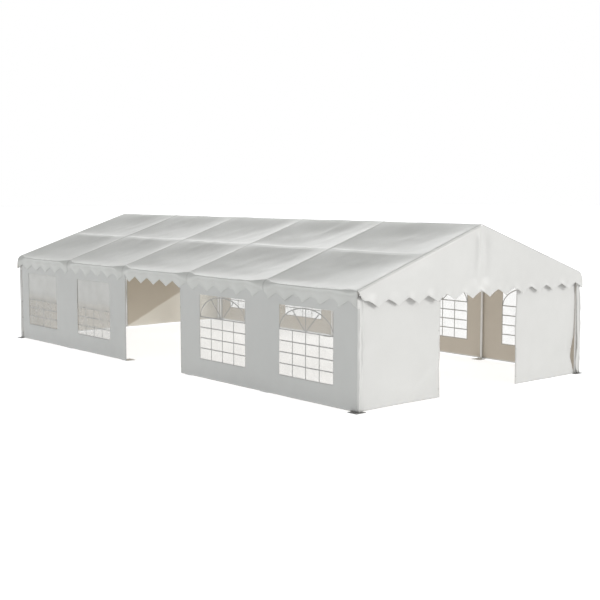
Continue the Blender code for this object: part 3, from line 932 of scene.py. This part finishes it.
def column_at(name, axis, place):
    """The grid column, in part too, where a sheet's head passes a place along an axis."""
    line = SURFACES[name][0][:, -1, axis]
    order = np.argsort(line)
    return float(np.interp(place, line[order], order))


def add_eyelet(centre, outward):
    axis, first, second = square_to(outward)
    for face in (0.0008, -CLOTH - 0.0008):
        EYELETS.add(*tube(circle(centre + axis * face, first, second, EYELET_R, 14), EYELET_WIRE, 6))
    # the painted-shade plug that fills the hole
    HOLES.add(*prism(centre - axis * (CLOTH + 0.0006), axis, EYELET_R - 0.001, CLOTH + 0.0012, 12))


def add_tie(eyelet, bar_point, bar_axis, bar_radius):
    """An elastic loop from an eyelet round a bar, with a small ball at the eyelet."""
    axis = Vector(bar_axis).normalized()
    bar_point = Vector(bar_point)
    centre = bar_point + axis * (eyelet - bar_point).dot(axis)
    towards = eyelet - centre
    distance = towards.length
    towards.normalize()
    beside = axis.cross(towards)
    reach = bar_radius + TIE_R + 0.0005
    start = math.acos(min(reach / distance, 1))
    path = [centre + (towards * math.cos(turn) + beside * math.sin(turn)) * reach
            for turn in np.linspace(start, 2 * math.pi - start, 14)]
    path.append(eyelet)
    TIES.add(*tube(path, TIE_R, 6))
    for (start_z, radius), (end_z, _) in zip(TIE_BALL, TIE_BALL[1:]):
        foot = eyelet + Vector((0, 0, start_z - TIE_BALL[-1][0] / 2))
        BALLS.add(*prism(foot, (0, 0, 1), radius, end_z - start_z, 10))


def add_bolt(centre, axis):
    """A washer and a hexagon head."""
    BOLTS.add(*prism(centre, axis, 0.011, 0.0015, 16))
    BOLTS.add(*prism(Vector(centre) + Vector(axis).normalized() * 0.0015, axis, 0.0075, 0.0055, 6))


def tie_head(node, axis, margins, below, bar):
    """Eyelets along the head of a wall, each tied to a bar: its point, axis and radius."""
    name = node + "_sheet"
    points, outward = SURFACES[name]
    low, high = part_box(node)
    count = int((high[axis] - low[axis] - 0.3) / TIE_PITCH)
    for place in np.linspace(low[axis] + margins[0], high[axis] - margins[1], count):
        if axis == 1 and min(abs(place - frame_y) for frame_y in FRAMES) < 0.05:
            continue
        centre = surface_point(name, column_at(name, axis, place), points.shape[1] - 1 - below)
        add_eyelet(centre, outward)
        add_tie(centre, *bar)


def lace_edges(node, columns, rows_above):
    """Eyelets up some columns of a wall. Those below 0 count from the last."""
    name = node + "_sheet"
    points, outward = SURFACES[name]
    for column in columns:
        for row in np.linspace(3, points.shape[1] - rows_above, EYELETS_UP):
            add_eyelet(surface_point(name, column % points.shape[0], row), outward)


def add_small_parts():
    """Eyelets, elastic ties, bolts in the connectors and pegs in the foot plates."""
    bar_x = FRAME_X - ELBOW_R + ELBOW_R * math.cos(math.pi / 4 - SLOPE / 2)
    elbow_z = roof_plane(FRAME_X - ELBOW_R) - (FABRIC_SOLID + SLEEVE_R + ELBOW_R) / math.cos(SLOPE)
    bar_z = elbow_z + ELBOW_R * math.sin(math.pi / 4 - SLOPE / 2)
    rafter_drop = (FABRIC_SOLID + SLEEVE_R) / math.cos(SLOPE)

    for word, side in SIDES.items():
        eave_bar = ((side * bar_x, 0, bar_z), (0, 1, 0), PURLIN_R)
        for part, columns in (("front", (-1.4,)), ("rear", (0.4, -1.4))):
            node = "%s_wall_%s" % (word, part)
            tie_head(node, 1, (0.10, 0.18), 0.35, eave_bar)
            lace_edges(node, columns, 6)
    for end, where in ((-1, "front"), (1, "back")):
        for word, side in SIDES.items():
            node = "%s_wall_%s" % (where, word)
            on_rafter = (side * 0.5, end * FRAME_Y, roof_plane(0.5) - rafter_drop)
            tie_head(node, 0, (0.12, 0.12), 0.4,
                     (on_rafter, (-side * math.cos(SLOPE), 0, math.sin(SLOPE)), TUBE_R))
            lace_edges(node, (0.5, -1.4), 8)

    seat = SLEEVE_R * BOLT_SEAT
    elbow_x = FRAME_X - ELBOW_R + ELBOW_R * math.sin(SLOPE)
    mid_half = 0.032 * math.cos(SLOPE)
    along_rafter = (elbow_x - 0.050, elbow_x - 0.050 - BOLT_PITCH, 0.050, 0.050 + BOLT_PITCH,
                    MID_X - mid_half, MID_X + mid_half)
    for number, y in enumerate(FRAMES):
        for word, side in SIDES.items():
            for drop in (0.055, 0.055 + BOLT_PITCH):
                add_bolt((side * (FRAME_X - seat), y, elbow_z - drop), (-side, 0, 0))
            down = Vector((-side * math.sin(SLOPE), 0, -math.cos(SLOPE)))
            for x in along_rafter:
                add_bolt(Vector((side * x, y, roof_plane(x) - rafter_drop)) + down * seat, down)
            plate_x = middle("post_%s_%d" % (word, number + 1))[0]
            for peg_x in (-1, 1):
                for peg_y in (-1, 1):
                    peg = (plate_x + peg_x * PEG_PLACE, y + peg_y * PEG_PLACE, PLATE_TOP)
                    add_bolt(peg, (0, 0, 1))
    for parts in (EYELETS, HOLES, TIES, BALLS, BOLTS):
        parts.finish(smooth=parts not in (HOLES, BOLTS))


def add_floor():
    bpy.ops.mesh.primitive_plane_add(size=400, location=(0, 0, -0.0005))
    floor = bpy.context.object
    floor.name = "floor"
    floor.data.materials.append(FLOOR_COAT)


# Light and camera

SKY_HORIZON = 0.36
SKY_OVERHEAD = 0.40
FILL_FROM = (0.57, 0.75, 0.31)
FILL_LEVEL = 2.55
FILL_FOCUS = 30.0
KEY_FROM = (0.58, -0.78, 0.24)
KEY_LEVEL = 1.35
KEY_SOFTNESS = 16  # degrees
CAMERA_AT = (-14.829, -18.471, 3.572)
CAMERA_YAW = 40.427  # degrees from +Y towards +X
CAMERA_PITCH = -5.747
CAMERA_LENS = 64.61  # millimetres, on a sensor 36 mm wide


def add_light():
    """An even pale surround, brighter overhead and behind to the right, and one soft key."""
    world = bpy.data.worlds.new("studio")
    bpy.context.scene.world = world
    world.use_nodes = True
    paint = Paint(world.node_tree)
    place = paint.node("TexCoord").outputs["Generated"]
    overhead = paint.math("MAXIMUM", paint.axis(place, "Z"), 0.0)
    level = paint.math("MULTIPLY_ADD", overhead, SKY_OVERHEAD, SKY_HORIZON)
    towards = paint.node("VectorMath", {0: place, 1: Vector(FILL_FROM).normalized()})
    towards.operation = "DOT_PRODUCT"
    lobe = paint.math("MAXIMUM", towards.outputs["Value"], 0.0)
    lobe = paint.math("POWER", lobe, FILL_FOCUS)
    level = paint.math("MULTIPLY_ADD", lobe, FILL_LEVEL, level)
    background = paint.nodes["Background"]
    paint.feed(background.inputs["Strength"], level)
    background.inputs["Color"].default_value = (1.0, 1.0, 0.995, 1)
    # the camera itself sees plain white
    seen = paint.node("Background", {"Color": (1, 1, 1, 1)})
    path = paint.node("LightPath")
    mix = paint.node("MixShader", {0: path.outputs["Is Camera Ray"], 1: background.outputs[0],
                                   2: seen.outputs[0]})
    paint.links.new(mix.outputs[0], paint.nodes["World Output"].inputs[0])

    key = place_mesh("key", bpy.data.lights.new("key", "SUN"))
    key.data.energy = KEY_LEVEL
    key.data.angle = math.radians(KEY_SOFTNESS)
    key.data.color = (1.0, 0.99, 0.97)
    key.rotation_euler = Vector(KEY_FROM).to_track_quat("Z", "Y").to_euler()


def add_camera():
    camera = place_mesh("camera", bpy.data.cameras.new("camera"))
    camera.location = CAMERA_AT
    camera.rotation_euler = (math.pi / 2 + math.radians(CAMERA_PITCH), 0, -math.radians(CAMERA_YAW))
    camera.data.sensor_width = 36
    camera.data.lens = CAMERA_LENS
    camera.data.clip_end = 500
    bpy.context.scene.camera = camera
    settings = bpy.context.scene.view_settings
    settings.view_transform = "Standard"
    settings.look = "None"


make_cover()
make_corner_return()
make_gable("front_gable_sheet", "front_gable", -1)
make_gable("back_gable_sheet", "back_gable", 1)
for part, bays in (("front", (1, 2)), ("rear", (4, 5))):
    for word in SIDES:
        make_long_wall("%s_wall_%s" % (word, part), word, bays)
for word in SIDES:
    make_gable_wall("front_wall_" + word, -1)
    make_gable_wall("back_wall_" + word, 1)
    for number in (1, 2, 4, 5):
        make_window(word, number)
finish_frame()
add_small_parts()
add_floor()
add_light()
add_camera()
